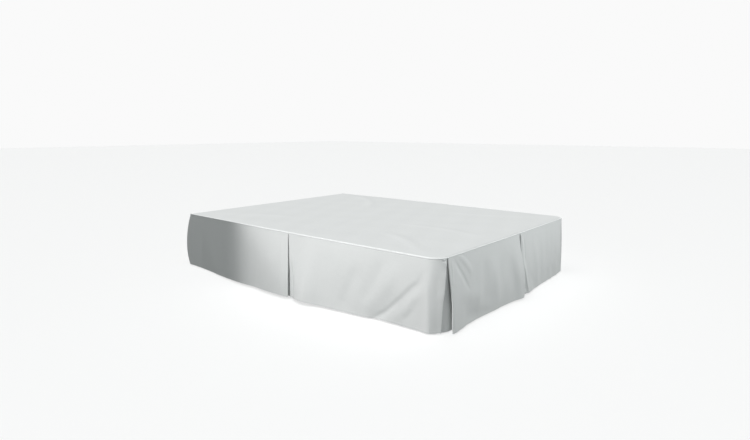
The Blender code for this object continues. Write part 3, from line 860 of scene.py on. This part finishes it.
def makeBoxCover():
    halfX, halfY = halves(box["inset"])
    rise = box["high"] - box["low"]
    middle = (*bedMiddle, (box["low"] + box["high"]) / 2)
    bpy.ops.mesh.primitive_cube_add(size=1, location=middle, scale=(2 * halfX, 2 * halfY, rise))
    piece = newPiece("boxCover")
    bpy.ops.object.transform_apply()
    setMode("EDIT")
    for side, radius, steps in box["corners"]:
        endY = bedMiddle[1] + side * halfY
        pickEdges(piece, lambda place, run: upright(run) and abs(place.y - endY) < tiny)
        bpy.ops.mesh.bevel(offset=radius, segments=steps, affect="EDGES")
    pickEdges(piece, lambda place, run: upright(run))
    bpy.ops.mesh.subdivide(number_cuts=box["bandRows"])
    # each row of the band stands out a little, most at the middle
    for row in range(1, box["bandRows"] + 1):
        height = box["low"] + rise * row / (box["bandRows"] + 1)
        pickEdges(piece, lambda place, run: level(run) and abs(place.z - height) < tiny)
        out = box["crown"] * math.sin(math.pi * row / (box["bandRows"] + 1))
        bpy.ops.transform.resize(value=(1 + out / halfX, 1 + out / halfY, 1), center_override=middle)
    pickEdges(piece, lambda place, run: level(run) and abs(abs(place.z - middle[2]) - rise / 2) < tiny)
    bpy.ops.mesh.bevel(offset=box["rim"], segments=box["rimSteps"], affect="EDGES")
    bpy.ops.mesh.select_all(action="SELECT")
    bpy.ops.mesh.normals_make_consistent()
    setMode("OBJECT")
    bpy.ops.object.shade_smooth_by_angle(angle=smooth["hard"])
    piece.data.materials.append(ticking.material)
    return piece


# a welt of covered cord round the cover at one height
def makeWelt(name, height):
    halfX, halfY = halves(box["weltInset"])
    bpy.ops.mesh.primitive_plane_add(size=1, location=(*bedMiddle, height))
    welt = newPiece(name)
    welt.scale = (2 * halfX, 2 * halfY, 1)
    bpy.ops.object.transform_apply()
    setMode("EDIT")
    for side, radius, steps in box["corners"]:
        endY = bedMiddle[1] + side * halfY
        pickEdges(welt, lambda place, run: abs(place.y - endY) < tiny)
        bpy.ops.mesh.bevel(offset=radius, segments=steps + box["weltMore"], affect="VERTICES")
    bpy.ops.mesh.select_all(action="SELECT")
    bpy.ops.mesh.delete(type="ONLY_FACE")
    setMode("OBJECT")
    bpy.ops.object.convert(target="CURVE")
    welt.data.bevel_depth = box["weltRadius"]
    welt.data.bevel_resolution = box["weltRoundness"]
    bpy.ops.object.convert(target="MESH")
    bpy.ops.object.shade_smooth()
    welt.data.materials.clear()
    welt.data.materials.append(ticking.material)
    return welt


boxCover = makeBoxCover()
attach(boxCover, "root")
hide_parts("box_spring")
weltHeights = {"weltLow": box["low"] + box["weltFromEdge"], "weltHigh": box["high"] - box["weltFromEdge"]}
for name, height in weltHeights.items():
    welt = makeWelt(name, height)
    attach(welt, "root")
print("box spring covered", len(boxCover.data.polygons), "faces")


# the frame's steel, painted brown: a slightly pebbled coat, rubbed paler in places
paint = Finish("brownPaintedSteel", {"Metallic": 0.2, "Specular IOR Level": 0.5})
paintPlace = paint.objectPlace()
pebble = paint.noise(paintPlace, 420.0, 2.0)
patches = paint.noise(paintPlace, 14.0, 4.0, 0.65)
scratches = paint.noise(paint.stretched(paintPlace, (60, 8, 300)), 1.0, 3.0, 0.6)
wear = {"Value": patches * 0.6 + scratches * 0.4, 1: 0.56, 2: 0.68}
rubbed = paint.add("ShaderNodeMapRange", wear)
paint.bump(pebble * 0.00025 - rubbed * 0.00005)
paintShade = paint.blend(patches, (0.125, 0.092, 0.07, 1), (0.085, 0.062, 0.048, 1))
paint.feed("Base Color", paint.blend(rubbed * 0.5, paintShade, (0.27, 0.24, 0.21, 1)))
paint.feed("Roughness", 0.38 + 0.18 * pebble + 0.12 * rubbed)

# black moulded plastic with a fine grain, dusty where it meets the floor
plastic = Finish("blackPlastic", {})
plasticPlace = plastic.objectPlace()
grain = plastic.noise(plasticPlace, 900.0, 2.0)
smudge = plastic.noise(plasticPlace, 60.0, 3.0)
settled = {"Value": plastic.part(plasticPlace, 2), 1: 0.01, 2: 0.0, 3: 0.0, 4: 0.5}
dust = plastic.add("ShaderNodeMapRange", settled) * smudge
plastic.bump(grain * 0.00012)
plastic.feed("Base Color", plastic.blend(dust, (0.028, 0.028, 0.03, 1), (0.2, 0.19, 0.18, 1)))
plastic.feed("Roughness", 0.42 + 0.2 * smudge)

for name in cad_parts:
    if name.startswith(("side_rail", "cross_bar", "leg", "glide")):
        part = bpy.data.objects[name]
        part.data.materials.clear()
        part.data.materials.append((plastic if name.startswith("glide") else paint).material)


# rivets through the bars' ends, and a collar where each leg meets its bar
rivet = {"radius": 0.0065, "height": 0.0026, "fromEnd": 0.019, "below": 0.003, "rounding": 0.8, "sides": 20,
         "steps": 4}
collar = {"out": 0.0045, "height": 0.007, "below": 0.0005, "rounding": 0.7, "sides": 32}


def joinedCopies(first, places):
    pieces = [first]
    for place in places[1:]:
        pick(first)
        bpy.ops.object.duplicate()
        pieces.append(bpy.context.active_object)
        pieces[-1].location = place
    first.location = places[0]
    pick(first)
    for piece in pieces:
        piece.select_set(True)
    bpy.ops.object.join()
    bpy.ops.object.transform_apply()
    return first


def roundPiece(name, radius, depth, sides, rounding):
    bpy.ops.mesh.primitive_cylinder_add(radius=radius, depth=depth, vertices=sides)
    piece = newPiece(name)
    setMode("EDIT")
    pickEdges(piece, lambda place, run: level(run) and place.z < 0)
    bpy.ops.mesh.bevel(offset=rounding, segments=rivet["steps"], affect="EDGES")
    setMode("OBJECT")
    bpy.ops.object.shade_smooth_by_angle(angle=smooth["hard"])
    piece.data.materials.append(paint.material)
    return piece


rivetPlaces, collarPlaces = [], []
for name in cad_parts:
    low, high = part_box(name)
    if name.startswith("cross_bar"):
        for end in (low.x + rivet["fromEnd"], high.x - rivet["fromEnd"]):
            rivetPlaces.append((end, (low.y + high.y) / 2, high.z - rivet["below"] - rivet["height"] / 2))
    if name.startswith("leg"):
        radius = (high.x - low.x) / 2
        height = high.z - collar["height"] / 2 - collar["below"]
        collarPlaces.append(((low.x + high.x) / 2, (low.y + high.y) / 2, height))
rounding = rivet["height"] * rivet["rounding"]
first = roundPiece("barRivets", rivet["radius"], rivet["height"], rivet["sides"], rounding)
rivets = joinedCopies(first, rivetPlaces)
rounding = collar["out"] * collar["rounding"]
first = roundPiece("legCollars", radius + collar["out"], collar["height"], collar["sides"], rounding)
collars = joinedCopies(first, collarPlaces)
for piece in (rivets, collars):
    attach(piece, "root")
print("frame finished with", len(rivetPlaces), "rivets and", len(collarPlaces), "collars")


# floor, lights and camera; the room is a plain white one, brighter to look at than it lights
floorLook = {"size": 60.0, "shader": {"Base Color": (0.9, 0.9, 0.9, 1), "Roughness": 0.9}}
room = {"light": 0.2, "seen": 0.955, "tint": (0.955, 1.0, 0.99, 1)}

bpy.ops.mesh.primitive_plane_add(size=floorLook["size"])
floor = newPiece("floor")
floor.data.materials.append(Finish("paleFloor", floorLook["shader"]).material)
floor.visible_diffuse = False  # no light thrown back up under the cloth

world = bpy.data.worlds.new("whiteRoom")
scene = bpy.context.scene
scene.world = world
world.use_nodes = True
nodes, wires = world.node_tree.nodes, world.node_tree.links
background = nodes["Background"]
background.inputs["Color"].default_value = room["tint"]
background.inputs["Strength"].default_value = room["light"]
seen = nodes.new("ShaderNodeBackground")
seen.inputs["Strength"].default_value = room["seen"]
seen.inputs["Color"].default_value = (1, 1, 1, 1)
rays = nodes.new("ShaderNodeLightPath")
blend = nodes.new("ShaderNodeMixShader")
wires.new(rays.outputs["Is Camera Ray"], blend.inputs["Fac"])
wires.new(background.outputs["Background"], blend.inputs[1])
wires.new(seen.outputs["Background"], blend.inputs[2])
wires.new(blend.outputs["Shader"], nodes["World Output"].inputs["Surface"])
scene.view_settings.view_transform = "Standard"


# the floor and the deck have their own even lights; the drops have a key light from their left that
# fades to the head, lights at both foot corners, and weak ones from the right and the back
def lightGroup(name, pieces):
    group = bpy.data.collections.new(name)
    for piece in pieces:
        group.objects.link(piece)
    return group


meshes = [item for item in scene.objects if item.type == "MESH"]
onFloor = lightGroup("onFloor", [floor])
onDeck = lightGroup("onDeck", [deckPiece])
onCorner = lightGroup("onCorner", [item for item in meshes if item.name == "sideDropLeftFoot"])
onDrops = lightGroup("onDrops", [item for item in meshes if item not in (floor, deckPiece)])

# soft is a sun's spread or a spot's radius; a spot has a cone; angles are in degrees. Where nothing
# else is said, a light is white, aims at the floor's middle and falls on all but floor and deck
warm, cool = (1, 0.99, 0.985), (0.97, 1, 1)
keyPlace = (-6.49, 2.12, 4.76)
lights = [
    {"name": "floorLight", "from": (-1.4, 0.4, 3.6), "soft": 50, "strength": 0.5, "lit": onFloor},
    {"name": "floorGlow", "from": (0, 0, 4.0), "soft": 10, "strength": 2.24, "lit": onFloor,
     "shadow": False},
    {"name": "deckLight", "from": (-3.0, 2.0, 3.0), "soft": 30, "strength": 4.2, "lit": onDeck},
    {"name": "keyLight", "from": keyPlace, "to": (-0.78, -3.974, 1.578), "soft": 0.05,
     "strength": 933, "colour": warm, "cone": 63.9, "blend": 0.123},
    {"name": "highKeyLight", "from": keyPlace, "to": (-0.78, -1.38, 3.83), "soft": 0.12,
     "strength": 865, "colour": warm, "cone": 64.0, "blend": 0.078},
    {"name": "softKeyLight", "from": keyPlace, "to": (-0.78, -0.379, 1.5), "soft": 0.12,
     "strength": 1185, "colour": warm, "cone": 18.9, "blend": 1.0},
    {"name": "cornerLight", "from": (-2.6, -3.0, 1.0), "soft": 40, "strength": 0.79, "colour": cool},
    {"name": "cornerGlow", "from": (-1.25, -3.3, 1.2), "to": (-0.723, -0.965, 0.285), "soft": 0.05,
     "strength": 30, "lit": onCorner, "cone": 8.5, "blend": 1.0},
    {"name": "footLight", "from": (2.4, -5.2, 3.5), "to": (0.95, -1.0, 3.23), "soft": 0.3,
     "strength": 671, "colour": cool, "cone": 72.2, "blend": 0.28},
    {"name": "rightLight", "from": (3.0, -1.2, 1.8), "soft": 40, "strength": 1.0},
    {"name": "backLight", "from": (1.5, 4.0, 3.0), "soft": 40, "strength": 1.6},
]
for light in lights:
    aim = Vector(light.get("to", (0, 0, 0))) - Vector(light["from"])
    turn = aim.to_track_quat("-Z", "Y").to_euler()
    kind = "SPOT" if "cone" in light else "SUN"
    bpy.ops.object.light_add(type=kind, location=light["from"], rotation=turn)
    lamp = newPiece(light["name"])
    lamp.data.energy = light["strength"]
    lamp.data.color = light.get("colour", (1, 1, 1))
    lamp.data.use_shadow = light.get("shadow", True)
    lamp.light_linking.receiver_collection = light.get("lit", onDrops)
    if kind == "SUN":
        lamp.data.angle = math.radians(light["soft"])
    else:
        lamp.data.shadow_soft_size = light["soft"]
        lamp.data.spot_size = math.radians(light["cone"])
        lamp.data.spot_blend = light["blend"]

view = {"place": (-2.6707, -2.2296, 0.9247), "yaw": 50.248, "pitch": 9.756, "lens": 25.05}
yaw, pitch = math.radians(view["yaw"]), math.radians(view["pitch"])
forward = Vector((math.sin(yaw) * math.cos(pitch), math.cos(yaw) * math.cos(pitch), -math.sin(pitch)))
place = Vector(view["place"]) + Vector((*bedMiddle, 0))
bpy.ops.object.camera_add(location=place, rotation=forward.to_track_quat("-Z", "Y").to_euler())
camera = newPiece("studioCamera")
camera.data.lens = view["lens"]
camera.data.sensor_width = 36
camera.data.dof.use_dof = False
scene.camera = camera
print("floor, lights and camera set")
